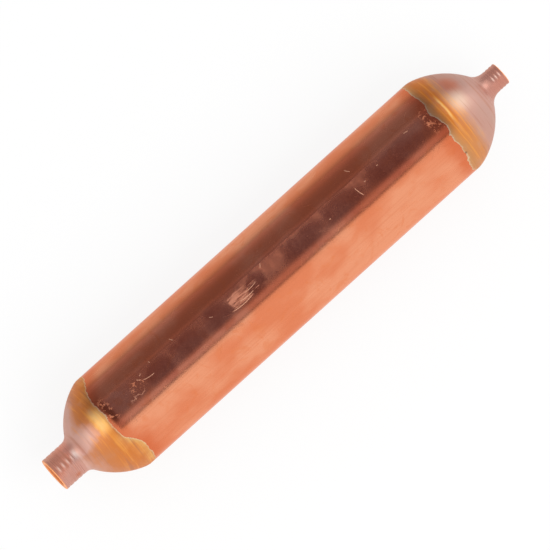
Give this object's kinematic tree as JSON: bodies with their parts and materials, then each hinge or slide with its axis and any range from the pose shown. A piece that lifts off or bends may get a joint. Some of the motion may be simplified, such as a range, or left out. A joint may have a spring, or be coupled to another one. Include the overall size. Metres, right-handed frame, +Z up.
{
  "type": "filter drier",
  "caption": "Copper tube filter drier with spun domed ends, a wide inlet stub and a narrow outlet stub, holding desiccant beads between mesh screens.",
  "frame": {"origin": "on the axis, half way between the two mouths", "axes": "+X along the axis towards the outlet, the narrow stub; +Z up, any direction square to the axis"},
  "size_m": [0.1034, 0.019, 0.019],
  "materials": {
    "copper": "bright drawn copper, heat tinted at the spun ends",
    "ring_steel": "zinc plated rolled strip",
    "inlet_cloth": "stainless wire",
    "outlet_gauze": "fine brass gauze",
    "desiccant": "matt fired beads"
  },
  "bodies": {
    "root": {"shell": "copper", "inlet_screen_ring": "ring_steel", "inlet_screen": "inlet_cloth", "desiccant_bed": "desiccant", "outlet_screen": "outlet_gauze", "outlet_screen_ring": "ring_steel"}
  },
  "joints": []
}
